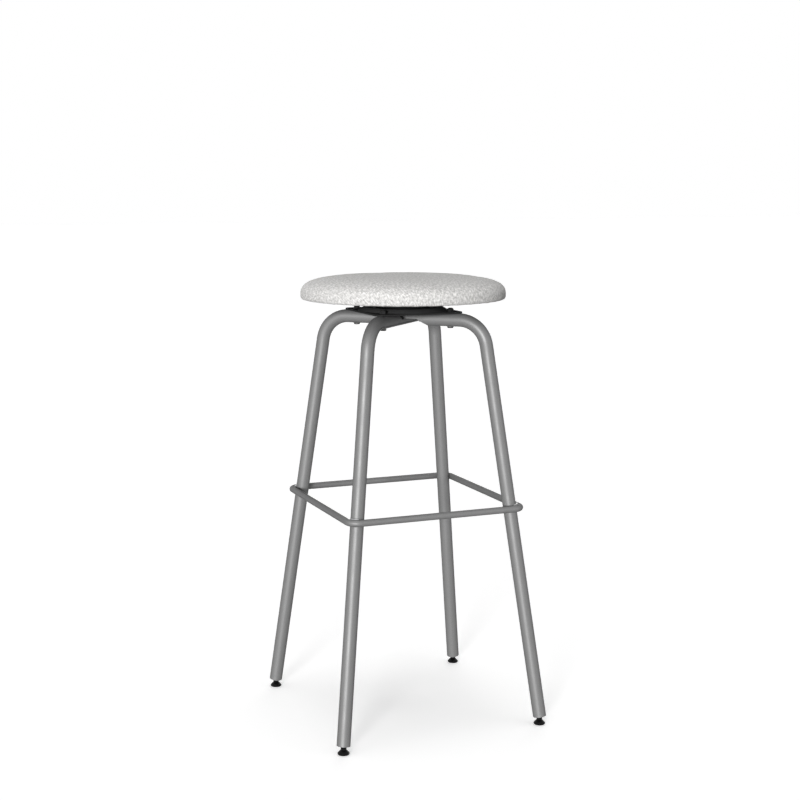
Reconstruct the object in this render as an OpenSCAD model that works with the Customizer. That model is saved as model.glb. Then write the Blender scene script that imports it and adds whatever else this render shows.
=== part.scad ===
// Swivel spectator stool: two bent tube hoops that cross under a ball bearing
// swivel, a square foot ring round the legs, four tilting glides and a round
// upholstered seat. Millimetres, +Z up, origin on the floor under the seat.
// The legs stand on the diagonals, so the ring and the plates lie along X and Y.

/* [Frame] */
// Height of the hoops' top above the floor
frame_h = 787.2; // [600:0.1:900]
// Outer diameter of the hoop tube
tube_d = 25.4; // [22:0.1:28]
// Wall of the hoop tube
tube_wall = 1.5; // [1.2:0.1:2]
// Lean of each leg from upright, in degrees
lean = 9.148; // [7:0.001:10]
// Distance across the floor between the axes of two opposite legs
leg_spread = 574.2; // [545:0.1:600]
// Radius of each bend, on the tube's axis
bend_r = 54.5; // [45:0.5:60]
// Height of the middle of each cut leg end above the floor
leg_end_z = 16; // [15:0.1:20]
// Length pressed flat where the hoops cross
press_flat_l = 66; // [58:0.5:72]
// Length of the taper from the pressed flat to the round tube
press_ramp_l = 20; // [17:0.5:24]

/* [Foot ring] */
// Diameter of the ring's round bar
ring_rod_d = 12.7; // [10:0.1:14]
// Height of the ring's axis above the floor
ring_z = 421.5; // [300:0.5:520]
// Radius of each weld bead on the ring
ring_bead_r = 2; // [1.6:0.1:2.4]
// Angle that each ring bead covers round its leg, in degrees
ring_bead_a = 64; // [40:1:80]

/* [Glides] */
// Widest diameter of a glide foot
foot_d = 22.4; // [20:0.1:26]
// Diameter of the flat that stands on the floor
foot_flat_d = 18.6; // [16:0.1:19.5]
// Height of the widest part above the floor
foot_rim_z = 2.4; // [2:0.1:3]
// Height of the foot's upright rim above that
foot_rim_h = 0.9; // [0.6:0.1:1.4]
// Diameter of the neck between the foot and its ball
neck_d = 11; // [9:0.1:12]
// Height where the bell runs into the neck
neck_z = 9.2; // [8:0.1:10.5]
// Diameter of the ball on top of the foot
glide_ball_d = 14.4; // [13.6:0.1:16]
// Depth of the ball's middle inside the leg end
glide_ball_in = 1.5; // [1.2:0.1:2.5]
// Length of the plug inside the leg
plug_l = 22; // [18:0.5:30]
// Height of the grooves between the plug's ribs
plug_groove_h = 2.4; // [1.5:0.1:2.5]
// Depth of those grooves
plug_groove_t = 0.9; // [0.5:0.1:1.2]

/* [Swivel plates] */
// Height from the hoops' top to the seat plate's top
swivel_h = 26.2; // [25.2:0.1:32]
// Thickness of the pressed sheet
sheet_t = 3; // [2.5:0.1:3.4]
// Side of the square base plate
base_side = 178; // [177.4:0.1:200]
// Corner radius of the base plate
base_corner_r = 14; // [8:0.5:20]
// Diameter at the foot of the pressed dome
dome_foot_d = 176; // [172:0.5:177]
// Diameter at the dome's shoulder
dome_top_d = 150; // [140:0.5:154]
// Rise of the dome above the flat corners
dome_h = 7; // [6:0.1:7.6]
// Side of the square seat plate
seat_plate_side = 127; // [122:0.5:140]
// Corner radius of the seat plate
seat_plate_corner_r = 10; // [6:0.5:14]
// Diameter at the mouth of the seat plate's dish
dish_mouth_d = 116; // [113.5:0.5:118]
// Diameter of the dish's floor
dish_floor_d = 105; // [103.5:0.5:107]
// Bend radius of the pressed corners, on the sheet's middle
press_bend_r = 2.5; // [2.2:0.1:3]
// Diameter of the tool hole that lets a driver reach the seat screws
tool_hole_d = 15; // [13:0.5:18]

/* [Swivel bearing] */
// Diameter of the circle that the balls run on
track_d = 88; // [84:0.5:90]
// Diameter of a bearing ball
bearing_ball_d = 6.35; // [6:0.05:6.5]
// Number of bearing balls
bearing_ball_n = 18; // [12:1:24]
// Radial width of each race ring
race_w = 14; // [11:0.5:14]
// Thickness of each race ring
race_t = 2.4; // [2:0.1:2.8]
// Depth of the groove in each race ring
race_groove = 1.2; // [0.8:0.1:1.4]
// Thickness of the ball cage
cage_t = 1.2; // [0.8:0.1:1.8]
// Radial width of the ball cage
cage_w = 12; // [10:0.5:13]
// Width of the rim round the cage, which keeps dirt off the balls
cage_rim_w = 1; // [0.8:0.1:1.5]
// Diameter of the centre spindle
spindle_d = 12; // [9:0.5:14]
// Diameter of the spindle's lower head
spindle_foot_d = 24; // [20:0.5:30]
// Diameter of the spindle's riveted top
spindle_top_d = 18; // [16:0.5:24]
// Height of each spindle head
spindle_head_h = 2.2; // [1.8:0.1:2.4]
// Outer diameter of the spacer bush round the spindle
bush_d = 18; // [16:0.5:24]
// Outer diameter of the thrust washer
thrust_d = 22; // [20:0.5:30]
// Thickness of the thrust washer
thrust_t = 1.5; // [1:0.1:1.6]

/* [Fasteners] */
// Diameter of the circle of the four frame bolts
bolt_circle_d = 194.4; // [191:0.1:198]
// Thread diameter of the bolts and seat screws
bolt_d = 6.35; // [5:0.05:7]
// Diameter of a bolt's low round head
bolt_head_d = 11.6; // [10:0.1:13]
// Height of that head
bolt_head_h = 2.1; // [1.8:0.1:3.4]
// Diameter of a bolt's hexagon socket, across its corners
socket_d = 4.6; // [3.5:0.1:5]
// Diameter of the washer under each bolt head
washer_d = 12.6; // [12:0.1:15]
// Thickness of that washer
washer_t = 1; // [0.6:0.1:1.4]
// Size of a lock nut across its flats
nut_af = 11.1; // [10:0.1:11.4]
// Height of a lock nut's hexagon
nut_hex_h = 4.8; // [4:0.1:6]
// Height of a lock nut's nylon collar
nut_collar_h = 1.7; // [1.2:0.1:2.5]
// Diameter of the circle of the four seat screws
screw_circle_d = 144; // [140:0.5:150]
// Diameter of a seat screw's head
screw_head_d = 12; // [10:0.1:13]
// Height of a seat screw's head
screw_head_h = 2.8; // [2:0.1:3.5]
// Diameter of a tee nut's flange
tee_flange_d = 19; // [16:0.5:22]
// Thickness of a tee nut's flange
tee_flange_t = 1.2; // [0.8:0.1:1.6]
// Wall of a tee nut's barrel
tee_wall = 0.8; // [0.6:0.1:1]
// Length of a tee nut's barrel below its flange
tee_barrel_l = 8; // [6:0.1:9]

/* [Seat] */
// Widest diameter of the upholstered seat
seat_d = 393.4; // [391:0.1:430]
// Height from the cover's underside to the crown
seat_h = 43.2; // [38:0.1:60]
// Height of the widest level above the cover's underside
seat_edge_h = 5.6; // [4:0.1:9]
// How far the edge draws in below the widest level
seat_edge_in = 4; // [2:0.1:6]
// How full the crown is across the seat, where 2 is an ellipse
crown_across = 4.2; // [2.5:0.1:6]
// How full the crown is up the side, where 2 is an ellipse
crown_up = 3.2; // [2:0.1:4.5]
// Thickness of the woven cover
cover_t = 1.2; // [0.8:0.1:2]
// How far the plywood board's edge lies inside the widest level
board_in = 10.7; // [8:0.1:20]
// Thickness of the seat board
board_t = 12; // [10:0.5:15]
// Width of the hem that is turned in under the board's edge
hem_w = 18; // [14:0.5:24]
// Width of the dust cover's edge that laps over the hem
dust_lap = 12; // [6:0.5:13]
// Width over which the dust cover drops from the board to the hem
dust_drop_w = 16; // [8:0.5:24]
// Thickness of the dust cover
dust_t = 0.6; // [0.4:0.1:1]

/* [Hidden] */
$fn = 72;

// Where each corner lies, as an angle about +Z
front_left_a = 225;
front_right_a = 315;
back_right_a = 45;
back_left_a = 135;
corners = [front_left_a, front_right_a, back_right_a, back_left_a];

// Clearances: run between turning pieces, slip between fixed ones, bolt in its
// hole, pocket round a ball, rim of the cage to each race, weld between ring and
// leg, soft round the foam
run_fit = 0.05;
slip_fit = 0.05;
bolt_fit = 0.3;
pocket_fit = 0.12;
rim_fit = 0.3;
weld_fit = 0.05;
soft_fit = 0.2;
// A cutter reaches this far past the face that it opens
past = 1;

// Hoops
tube_r = tube_d / 2;
bore_r = tube_r - tube_wall;
axis_z = frame_h - tube_r;
knee_z = axis_z - bend_r * (1 - sin(lean));
bend_x = leg_r(knee_z) - bend_r * cos(lean);
leg_l = (knee_z - leg_end_z) / cos(lean);
// Each tube is pressed to half its height, so the two are as tall as one
flat_x = press_flat_l / 2;
press_slope = atan(tube_r / press_ramp_l);
cross_bead_r = 3;
cross_bead_l = 20;

// Foot ring
ring_rod_r = ring_rod_d / 2;
ring_corner_r = (tube_r + ring_rod_r) / cos(lean) + weld_fit;
ring_corner_x = leg_r(ring_z) / sqrt(2);
ring_side_x = ring_corner_x + ring_corner_r;
bead_up = 0.9 * ring_rod_r;
bead_out = 0.95 * ring_bead_r;

// Glides
glide_ball_r = glide_ball_d / 2;
glide_ball_x = leg_r(leg_end_z) - glide_ball_in * sin(lean);
glide_ball_z = leg_end_z + glide_ball_in * cos(lean);
plug_r = bore_r - slip_fit;
plug_grooves = 3;
plug_pitch = 4.4;
plug_nose = 1.5;

// Swivel, from the hoops' top upwards
flat_top_z = frame_h + sheet_t;
dome_z = flat_top_z + dome_h;
race_floor = race_t - race_groove;
bearing_ball_r = bearing_ball_d / 2;
track_r = track_d / 2;
ball_z = dome_z + race_floor + bearing_ball_r + run_fit;
dish_z = 2 * ball_z - dome_z;
race_gap = dish_z - dome_z - 2 * race_t;
cage_rim_h = race_gap - 2 * rim_fit;
seat_plate_z = frame_h + swivel_h - sheet_t;
thrust_z = dish_z + sheet_t + run_fit;
spindle_top_z = thrust_z + thrust_t;
press_ledge = 1.5;

// Fasteners
bolt_r = bolt_d / 2;
bolt_hole_r = bolt_r + bolt_fit;
head_seat_z = frame_h - tube_d - washer_t;
nut_top_z = flat_top_z + nut_hex_h + nut_collar_h;
bolt_end = 0.5;
socket_depth = 1.8;
tee_bore_r = bolt_r + slip_fit;
tee_barrel_r = tee_bore_r + tee_wall;
screw_end = 1;

// Seat, from its underside upwards
board_z = frame_h + swivel_h + dust_t;
board_top_z = board_z + board_t;
board_r = seat_d / 2 - board_in;
hem_open_r = board_r - hem_w;
seat_z = board_z - cover_t;
seat_mid_z = seat_z + seat_edge_h;
seat_top_z = seat_z + seat_h;
edge_steps = 5;
crown_steps = 26;

// Radius of a leg's axis from the middle of the stool, at a height
function leg_r(z) = leg_spread / 2 - z * tan(lean);

function turn(v, a) = [v[0] * cos(a) - v[1] * sin(a), v[0] * sin(a) + v[1] * cos(a)];
function unit(v) = v / norm(v);

// The line a, b, c with its corner at b rounded to radius r
function round_corner(a, b, c, r, steps = 5) =
    let (
        u = unit(a - b),
        v = unit(c - b),
        half = acos(u * v) / 2,
        centre = b + unit(u + v) * r / sin(half),
        start = b + u * r / tan(half) - centre,
        side = sign(start[0] * (c - b)[1] - start[1] * (c - b)[0]),
        sweep = side * (180 - 2 * half)
    )
    [for (i = [0 : steps]) centre + turn(start, sweep * i / steps)];

// Outline of a sheet of thickness t whose middle follows the path
function sheet_outline(path, t) =
    let (
        last = len(path) - 1,
        normals = [
            for (i = [0 : last])
                turn(unit(path[min(i + 1, last)] - path[max(i - 1, 0)]), 90) * t / 2
        ]
    )
    concat(
        [for (i = [0 : last]) path[i] + normals[i]],
        [for (i = [last : -1 : 0]) path[i] - normals[i]]
    );

// Middle of a pressed sheet: a ledge at from, a slope, and a floor to hole_r
function pressing(from, to, hole_r) =
    let (ledge = from - [press_ledge, 0])
    concat(
        [from],
        round_corner(from, ledge, to, press_bend_r),
        round_corner(ledge, to, [hole_r, to[1]], press_bend_r),
        [[hole_r, to[1]]]
    );

// Half section of the upholstered seat, drawn in evenly by an inset
function seat_outline(inset) =
    let (
        r = seat_d / 2 - inset,
        low = seat_z + inset,
        top = seat_top_z - inset
    )
    concat(
        [[0, low]],
        [
            for (i = [0 : edge_steps])
                let (a = 90 * i / edge_steps)
                [r - seat_edge_in * (1 - sin(a)), seat_mid_z - (seat_mid_z - low) * cos(a)]
        ],
        [
            for (i = [1 : crown_steps])
                let (a = 90 * i / crown_steps)
                [r * pow(max(cos(a), 0), 2 / crown_across),
                 seat_mid_z + (top - seat_mid_z) * pow(sin(a), 2 / crown_up)]
        ]
    );

module at_corners() {
    for (a = corners)
        rotate([0, 0, a])
            children();
}

// Children drawn at the origin, moved to the middle of a leg's cut end
module at_leg_end(a) {
    rotate([0, 0, a])
        translate([leg_r(leg_end_z), 0, leg_end_z])
            rotate([0, -lean, 0])
                children();
}

module rounded_square(side, r) {
    square([side, side - 2 * r], center = true);
    square([side - 2 * r, side], center = true);
    for (x = [-1, 1], y = [-1, 1])
        translate([x, y] * (side / 2 - r))
            circle(r);
}

module ring(outer_r, inner_r, h) {
    difference() {
        cylinder(r = outer_r, h = h);
        translate([0, 0, -past])
            cylinder(r = inner_r, h = h + 2 * past);
    }
}

// One straight run, bend and leg on each side, drawn as solid bar: skin is 0
// outside and the wall inside, extra runs the bar out past the leg's cut end
module hoop_bar(skin, extra) {
    r = tube_r - skin;
    cut = 2 * (bend_r + tube_d);
    for (side = [0, 180])
        rotate([0, 0, side])
            translate([bend_x, 0, axis_z - bend_r]) {
                translate([0, 0, bend_r])
                    rotate([0, -90, 0])
                        cylinder(r = r, h = bend_x);
                difference() {
                    rotate([90, 0, 0])
                        rotate_extrude(angle = 90)
                            translate([bend_r, 0])
                                circle(r);
                    rotate([0, -lean, 0])
                        translate([0, -cut / 2, -cut])
                            cube(cut);
                }
                rotate([0, -lean, 0])
                    translate([bend_r, 0, 0])
                        rotate([180, 0, 0])
                            cylinder(r = r, h = leg_l + extra);
            }
}

// What the press flattens at the crossing, with its tapers: up is 1 when the
// tube is pressed from below and -1 when it is pressed from above
module press_cut(up, skin) {
    low = -tube_r - past;
    flat_end = flat_x + skin * tan(press_slope / 2);
    low_end = flat_end + (skin - low) / tan(press_slope);
    translate([0, 0, axis_z])
        rotate([90, 0, 0])
            linear_extrude(tube_d + 2 * past, center = true)
                polygon([
                    [-low_end, up * low],
                    [-flat_end, up * skin],
                    [flat_end, up * skin],
                    [low_end, up * low]
                ]);
}

module hoop(up) {
    difference() {
        hoop_bar(0, 0);
        press_cut(up, 0);
        difference() {
            hoop_bar(tube_wall, past);
            press_cut(up, tube_wall);
        }
        for (side = [-1, 1])
            translate([side * bolt_circle_d / 2, 0, frame_h - tube_d - past])
                cylinder(r = bolt_hole_r, h = tube_d + 2 * past);
    }
}

module hoop_lower() {
    color("darkgray")
        rotate([0, 0, back_right_a])
            hoop(-1);
}

module hoop_upper() {
    color("darkgray")
        rotate([0, 0, back_left_a])
            hoop(1);
}

// Fillet beads where the upper tube's sides stand on the lower tube's flat
module crossing_welds() {
    color("gray")
        rotate([0, 0, back_left_a])
            for (side = [-1, 1])
                translate([-cross_bead_l / 2, 0, axis_z])
                    rotate([90, 0, 90])
                        linear_extrude(cross_bead_l)
                            difference() {
                                translate([side * tube_r, 0])
                                    circle(cross_bead_r);
                                circle(tube_r + weld_fit);
                                translate([-tube_d, -tube_d])
                                    square([2 * tube_d, tube_d + weld_fit]);
                            }
}

// Foot ring: four straight sides and four corners bent round the legs
module foot_ring() {
    color("darkgray")
        for (quarter = [0 : 90 : 270])
            rotate([0, 0, quarter]) {
                translate([ring_side_x, -ring_corner_x, ring_z])
                    rotate([-90, 0, 0])
                        cylinder(r = ring_rod_r, h = 2 * ring_corner_x);
                translate([ring_corner_x, ring_corner_x, ring_z])
                    rotate_extrude(angle = 90)
                        translate([ring_corner_r, 0])
                            circle(ring_rod_r);
            }
}

// Weld beads in the grooves above and below the ring, outside each leg
module ring_welds() {
    color("gray")
        at_corners()
            for (side = [-1, 1])
                difference() {
                    translate([leg_r(ring_z + side * bead_up), 0, ring_z + side * bead_up])
                        rotate([0, 0, -ring_bead_a / 2])
                            rotate_extrude(angle = ring_bead_a)
                                translate([tube_r + bead_out, 0])
                                    circle(ring_bead_r);
                    translate([leg_r(ring_z), 0, ring_z])
                        rotate([0, -lean, 0])
                            cylinder(r = tube_r + weld_fit, h = 4 * tube_d, center = true);
                    translate([leg_r(ring_z), 0, ring_z])
                        rotate([0, 0, -90])
                            rotate_extrude(angle = 180)
                                translate([ring_corner_r, 0])
                                    circle(ring_rod_r + weld_fit);
                }
}

// Ribbed plug in a leg end, with the socket that the foot's ball snaps into
module glide_plug(a) {
    color("#1c1c1e")
        at_leg_end(a)
            difference() {
                rotate_extrude()
                    difference() {
                        polygon([
                            [0, 0],
                            [plug_r, 0],
                            [plug_r, plug_l - plug_nose],
                            [plug_r - plug_nose, plug_l],
                            [0, plug_l]
                        ]);
                        for (i = [1 : plug_grooves])
                            translate([plug_r - plug_groove_t, i * plug_pitch])
                                square([plug_groove_t + past, plug_groove_h]);
                    }
                translate([0, 0, glide_ball_in])
                    sphere(glide_ball_r + run_fit);
            }
}

// Bell-shaped foot that stands flat on the floor under its ball
module glide_foot(a) {
    rim_r = foot_d / 2;
    flat_r = foot_flat_d / 2;
    color("#141416")
        rotate([0, 0, a])
            translate([glide_ball_x, 0, 0])
                rotate_extrude() {
                    polygon(concat(
                        [[0, 0]],
                        [
                            for (i = [0 : edge_steps])
                                let (b = 90 * i / edge_steps)
                                [flat_r + (rim_r - flat_r) * sin(b), foot_rim_z * (1 - cos(b))]
                        ],
                        [
                            [rim_r, foot_rim_z + foot_rim_h],
                            [neck_d / 2, neck_z],
                            [neck_d / 2, glide_ball_z - glide_ball_r / 2],
                            [0, glide_ball_z - glide_ball_r / 2]
                        ]
                    ));
                    translate([0, glide_ball_z])
                        intersection() {
                            circle(glide_ball_r);
                            translate([0, -glide_ball_r])
                                square([glide_ball_r, glide_ball_d]);
                        }
                }
}

// Low round-headed bolts up through the hoops, each with a hexagon socket
module hoop_bolts() {
    color("#2a2a2c")
        at_corners()
            translate([bolt_circle_d / 2, 0, head_seat_z])
                difference() {
                    union() {
                        cylinder(r = bolt_r, h = nut_top_z + bolt_end - head_seat_z);
                        translate([0, 0, -bolt_head_h])
                            rotate_extrude()
                                polygon([
                                    [0, 0],
                                    [bolt_head_d / 2 - bolt_head_h / 2, 0],
                                    [bolt_head_d / 2, bolt_head_h / 2],
                                    [bolt_head_d / 2, bolt_head_h],
                                    [0, bolt_head_h]
                                ]);
                    }
                    translate([0, 0, -bolt_head_h - past])
                        cylinder(d = socket_d, h = socket_depth + past, $fn = 6);
                }
}

module bolt_washers() {
    color("silver")
        at_corners()
            translate([bolt_circle_d / 2, 0, head_seat_z])
                ring(washer_d / 2, bolt_hole_r, washer_t);
}

// Hexagon nuts with a round nylon collar, on the base plate's corners
module lock_nuts() {
    color("#2a2a2c")
        at_corners()
            translate([bolt_circle_d / 2, 0, flat_top_z])
                difference() {
                    union() {
                        cylinder(d = nut_af / cos(30), h = nut_hex_h, $fn = 6);
                        translate([0, 0, nut_hex_h])
                            cylinder(d = nut_af - 1, h = nut_collar_h);
                    }
                    translate([0, 0, -past])
                        cylinder(r = bolt_r + slip_fit, h = nut_hex_h + nut_collar_h + 2 * past);
                }
}

// Base plate: a square sheet with a wide dome pressed up from it
module base_plate() {
    mid = frame_h + sheet_t / 2;
    dome_foot_r = dome_foot_d / 2;
    color("#202022")
        difference() {
            union() {
                translate([0, 0, frame_h])
                    linear_extrude(sheet_t)
                        difference() {
                            rounded_square(base_side, base_corner_r);
                            circle(dome_foot_r);
                        }
                rotate_extrude()
                    polygon(sheet_outline(
                        pressing([dome_foot_r, mid], [dome_top_d / 2, mid + dome_h],
                                 spindle_d / 2 + slip_fit),
                        sheet_t
                    ));
            }
            at_corners()
                translate([bolt_circle_d / 2, 0, frame_h - past])
                    cylinder(r = bolt_hole_r, h = sheet_t + 2 * past);
            translate([0, screw_circle_d / 2, frame_h - past])
                cylinder(d = tool_hole_d, h = sheet_t + dome_h + 2 * past);
        }
}

// Half section of a race ring that stands on z, with its groove towards up
module race_section(z, up) {
    difference() {
        translate([track_r - race_w / 2, min(z, z + up * race_t)])
            square([race_w, race_t]);
        translate([track_r, ball_z])
            circle(bearing_ball_r + run_fit);
    }
}

module lower_race() {
    color("#2a2a2c")
        rotate_extrude()
            race_section(dome_z, 1);
}

module upper_race() {
    color("#2a2a2c")
        rotate_extrude()
            race_section(dish_z, -1);
}

module bearing_balls() {
    color("gainsboro")
        for (i = [0 : bearing_ball_n - 1])
            rotate([0, 0, 360 * i / bearing_ball_n])
                translate([track_r, 0, ball_z])
                    sphere(bearing_ball_r);
}

// Flat ring that keeps the balls apart, with a pocket for each and a rim outside
module ball_cage() {
    outer_r = track_r + cage_w / 2;
    color("#1c1c1e")
        difference() {
            union() {
                translate([0, 0, ball_z - cage_t / 2])
                    ring(outer_r - cage_rim_w / 2, outer_r - cage_w, cage_t);
                translate([0, 0, ball_z - cage_rim_h / 2])
                    ring(outer_r, outer_r - cage_rim_w, cage_rim_h);
            }
            for (i = [0 : bearing_ball_n - 1])
                rotate([0, 0, 360 * i / bearing_ball_n])
                    translate([track_r, 0, ball_z - cage_t])
                        cylinder(r = bearing_ball_r + pocket_fit, h = 2 * cage_t);
        }
}

// Spindle riveted through the dome, with the seat plate turning round it
module spindle() {
    foot_z = dome_z - sheet_t - spindle_head_h;
    color("silver") {
        translate([0, 0, foot_z])
            cylinder(d = spindle_foot_d, h = spindle_head_h);
        translate([0, 0, foot_z + spindle_head_h])
            cylinder(d = spindle_d, h = spindle_top_z - foot_z - spindle_head_h);
        translate([0, 0, spindle_top_z])
            rotate_extrude()
                polygon([
                    [0, 0],
                    [spindle_top_d / 2, 0],
                    [spindle_top_d / 2, spindle_head_h / 2],
                    [spindle_d / 2, spindle_head_h],
                    [0, spindle_head_h]
                ]);
    }
}

// Bush that fills the spindle's span between the dome and the seat plate
module spacer_bush() {
    color("white")
        translate([0, 0, dome_z])
            ring(bush_d / 2, spindle_d / 2 + slip_fit, dish_z - dome_z - run_fit);
}

module thrust_washer() {
    color("white")
        translate([0, 0, thrust_z])
            ring(thrust_d / 2, spindle_d / 2 + slip_fit, thrust_t);
}

// Seat plate: a square sheet with a dish pressed down onto the upper race
module seat_plate() {
    mid = seat_plate_z + sheet_t / 2;
    mouth_r = dish_mouth_d / 2;
    color("#202022")
        difference() {
            union() {
                translate([0, 0, seat_plate_z])
                    linear_extrude(sheet_t)
                        difference() {
                            rounded_square(seat_plate_side, seat_plate_corner_r);
                            circle(mouth_r);
                        }
                rotate_extrude()
                    polygon(sheet_outline(
                        pressing([mouth_r, mid], [dish_floor_d / 2, dish_z + sheet_t / 2],
                                 spindle_d / 2 + run_fit),
                        sheet_t
                    ));
            }
            at_corners()
                translate([screw_circle_d / 2, 0, seat_plate_z - past])
                    cylinder(r = bolt_hole_r, h = sheet_t + 2 * past);
        }
}

module seat_screws() {
    color("#2a2a2c")
        at_corners()
            translate([screw_circle_d / 2, 0, seat_plate_z]) {
                cylinder(r = bolt_r, h = board_top_z - tee_flange_t - screw_end - seat_plate_z);
                translate([0, 0, -screw_head_h])
                    rotate_extrude()
                        polygon([
                            [0, 0],
                            [screw_head_d / 2 - screw_head_h / 2, 0],
                            [screw_head_d / 2, screw_head_h / 2],
                            [screw_head_d / 2, screw_head_h],
                            [0, screw_head_h]
                        ]);
            }
}

// Tee nuts let in flush with the board's top, for the seat screws
module tee_nuts() {
    color("silver")
        at_corners()
            translate([screw_circle_d / 2, 0, board_top_z]) {
                translate([0, 0, -tee_flange_t])
                    ring(tee_flange_d / 2, tee_bore_r, tee_flange_t);
                translate([0, 0, -tee_flange_t - tee_barrel_l])
                    ring(tee_barrel_r, tee_bore_r, tee_barrel_l);
            }
}

module seat_board() {
    color("burlywood")
        difference() {
            translate([0, 0, board_z])
                cylinder(r = board_r, h = board_t);
            at_corners()
                translate([screw_circle_d / 2, 0, 0]) {
                    translate([0, 0, board_z - past])
                        cylinder(r = tee_barrel_r + slip_fit, h = board_t + 2 * past);
                    translate([0, 0, board_top_z - tee_flange_t])
                        cylinder(r = tee_flange_d / 2 + slip_fit, h = tee_flange_t + past);
                }
        }
}

// Crowned foam that also wraps the edge of the board
module seat_foam() {
    color("lightyellow")
        rotate_extrude()
            difference() {
                polygon(seat_outline(cover_t + soft_fit));
                translate([0, board_z - past])
                    square([board_r + soft_fit, board_t + past]);
            }
}

// One-piece cover over the foam, its hem turned in under the board
module seat_cover() {
    color("lightgray")
        rotate_extrude()
            difference() {
                polygon(seat_outline(0));
                polygon(seat_outline(cover_t));
                translate([0, seat_z - past])
                    square([hem_open_r, cover_t + 2 * past]);
            }
}

// Thin cloth that hides the board and laps over the hem
module dust_cover() {
    flat_z = board_z - dust_t / 2;
    lap_z = seat_z - dust_t / 2;
    path = [
        [0, flat_z],
        [hem_open_r - dust_drop_w, flat_z],
        [hem_open_r - cover_t, lap_z],
        [hem_open_r + dust_lap, lap_z]
    ];
    color("#2c2c2c")
        difference() {
            rotate_extrude()
                polygon(sheet_outline(path, dust_t));
            at_corners()
                translate([screw_circle_d / 2, 0, board_z - dust_t - past])
                    cylinder(r = bolt_hole_r, h = dust_t + 2 * past);
        }
}

hoop_lower();
hoop_upper();
crossing_welds();
foot_ring();
ring_welds();
glide_plug(front_left_a);  // glide_plug_front_left
glide_plug(front_right_a);  // glide_plug_front_right
glide_plug(back_right_a);  // glide_plug_back_right
glide_plug(back_left_a);  // glide_plug_back_left
glide_foot(front_left_a);  // glide_foot_front_left
glide_foot(front_right_a);  // glide_foot_front_right
glide_foot(back_right_a);  // glide_foot_back_right
glide_foot(back_left_a);  // glide_foot_back_left
hoop_bolts();
bolt_washers();
lock_nuts();
base_plate();
lower_race();
spindle();
spacer_bush();
thrust_washer();
bearing_balls();
ball_cage();
upper_race();
seat_plate();
seat_screws();
tee_nuts();
seat_board();
seat_foam();
seat_cover();
dust_cover();
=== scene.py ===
# %% [markdown]
# # Swivel spectator stool
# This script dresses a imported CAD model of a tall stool. The metal, plastic and wooden
# parts come from CAD as they are and only get a finish. The soft parts, which CAD holds
# as plain solids, are made anew here as cloth and foam. All sizes are in metres, in the
# CAD model's own frame: Z is up, the floor is at 0, and the seat turns about the Z axis.

# %% Load the CAD frame
import math

import bpy
import numpy as np
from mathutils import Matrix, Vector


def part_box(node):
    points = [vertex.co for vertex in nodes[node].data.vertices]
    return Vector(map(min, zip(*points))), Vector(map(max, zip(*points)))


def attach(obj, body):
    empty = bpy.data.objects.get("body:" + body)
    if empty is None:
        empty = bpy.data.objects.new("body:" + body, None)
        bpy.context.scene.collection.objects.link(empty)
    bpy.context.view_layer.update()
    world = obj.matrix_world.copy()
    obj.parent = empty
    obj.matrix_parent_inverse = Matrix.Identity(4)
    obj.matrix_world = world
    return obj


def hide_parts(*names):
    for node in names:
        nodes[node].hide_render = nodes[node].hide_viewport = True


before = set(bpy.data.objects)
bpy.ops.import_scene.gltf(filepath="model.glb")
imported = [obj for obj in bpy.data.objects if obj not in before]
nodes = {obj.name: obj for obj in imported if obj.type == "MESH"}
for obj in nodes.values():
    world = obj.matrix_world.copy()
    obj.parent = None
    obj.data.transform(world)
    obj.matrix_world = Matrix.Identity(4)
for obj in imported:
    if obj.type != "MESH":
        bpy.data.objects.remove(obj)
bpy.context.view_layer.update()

MM = 0.001

# %% [markdown]
# ## Camera
# The photograph was taken from a little above the seat, from the front left. Its camera
# was worked out from the square foot ring, the legs' lean and the round seat, which
# agree on a lens of 30 degrees. A long lens like this keeps the legs nearly parallel.

# %% Camera at the photograph's place
VIEW_ANGLE = 30.0
CAMERA_AT = (-1.1003, -2.6423, 1.0438)
CAMERA_PITCH = 8.527
CAMERA_TURN = -22.49

camera_data = bpy.data.cameras.new("photo_camera")
camera_data.sensor_width = 36.0
camera_data.lens = camera_data.sensor_width / 2 / math.tan(math.radians(VIEW_ANGLE / 2))
camera = bpy.data.objects.new("photo_camera", camera_data)
camera.location = CAMERA_AT
camera.rotation_euler = (math.radians(90 - CAMERA_PITCH), 0, math.radians(CAMERA_TURN))
bpy.context.scene.collection.objects.link(camera)
bpy.context.scene.camera = camera
print("lens", round(camera_data.lens, 2), "mm")

# %% [markdown]
# ## Studio
# A product photograph like this has a white floor that runs into a white background,
# broad soft light from the left of the camera and from above, and only a faint shadow.
# Area lamps could do it, but they light a floor unevenly. Sun lamps light the whole
# floor alike, so it stays one white, and a wide angle keeps their shadows soft. The key
# lamp stands low, so that it reaches the tubes under the seat, and weaker lamps at both
# sides and behind round the tubes off. The world is plain white to the camera and to
# whatever mirrors it, such as glossy feet and washers, but it sheds only dim light: a
# bright world all around would wash out the shading that makes a tube look round.

# %% Node helpers
scene = bpy.context.scene
scene.view_settings.view_transform = "Standard"


def node(tree, kind, **sockets):
    """Adds a node of that kind and sets its input sockets by name."""
    made = tree.nodes.new(kind)
    for name, value in sockets.items():
        made.inputs[name.replace("_", " ")].default_value = value
    return made


def join(tree, source, target):
    """Links the output socket source to the input socket target."""
    tree.links.new(source, target)


def maths(tree, operation, first, second=0.0):
    """The output of a Math node on one or two inputs, each a socket or a number."""
    made = tree.nodes.new("ShaderNodeMath")
    made.operation = operation
    for place, value in enumerate((first, second)):
        if isinstance(value, (int, float)):
            made.inputs[place].default_value = value
        else:
            join(tree, value, made.inputs[place])
    return made.outputs[0]


def grey(value):
    """A grey of three equal parts, from 0 for black to 1 for white."""
    return (value, value, value)


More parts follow.
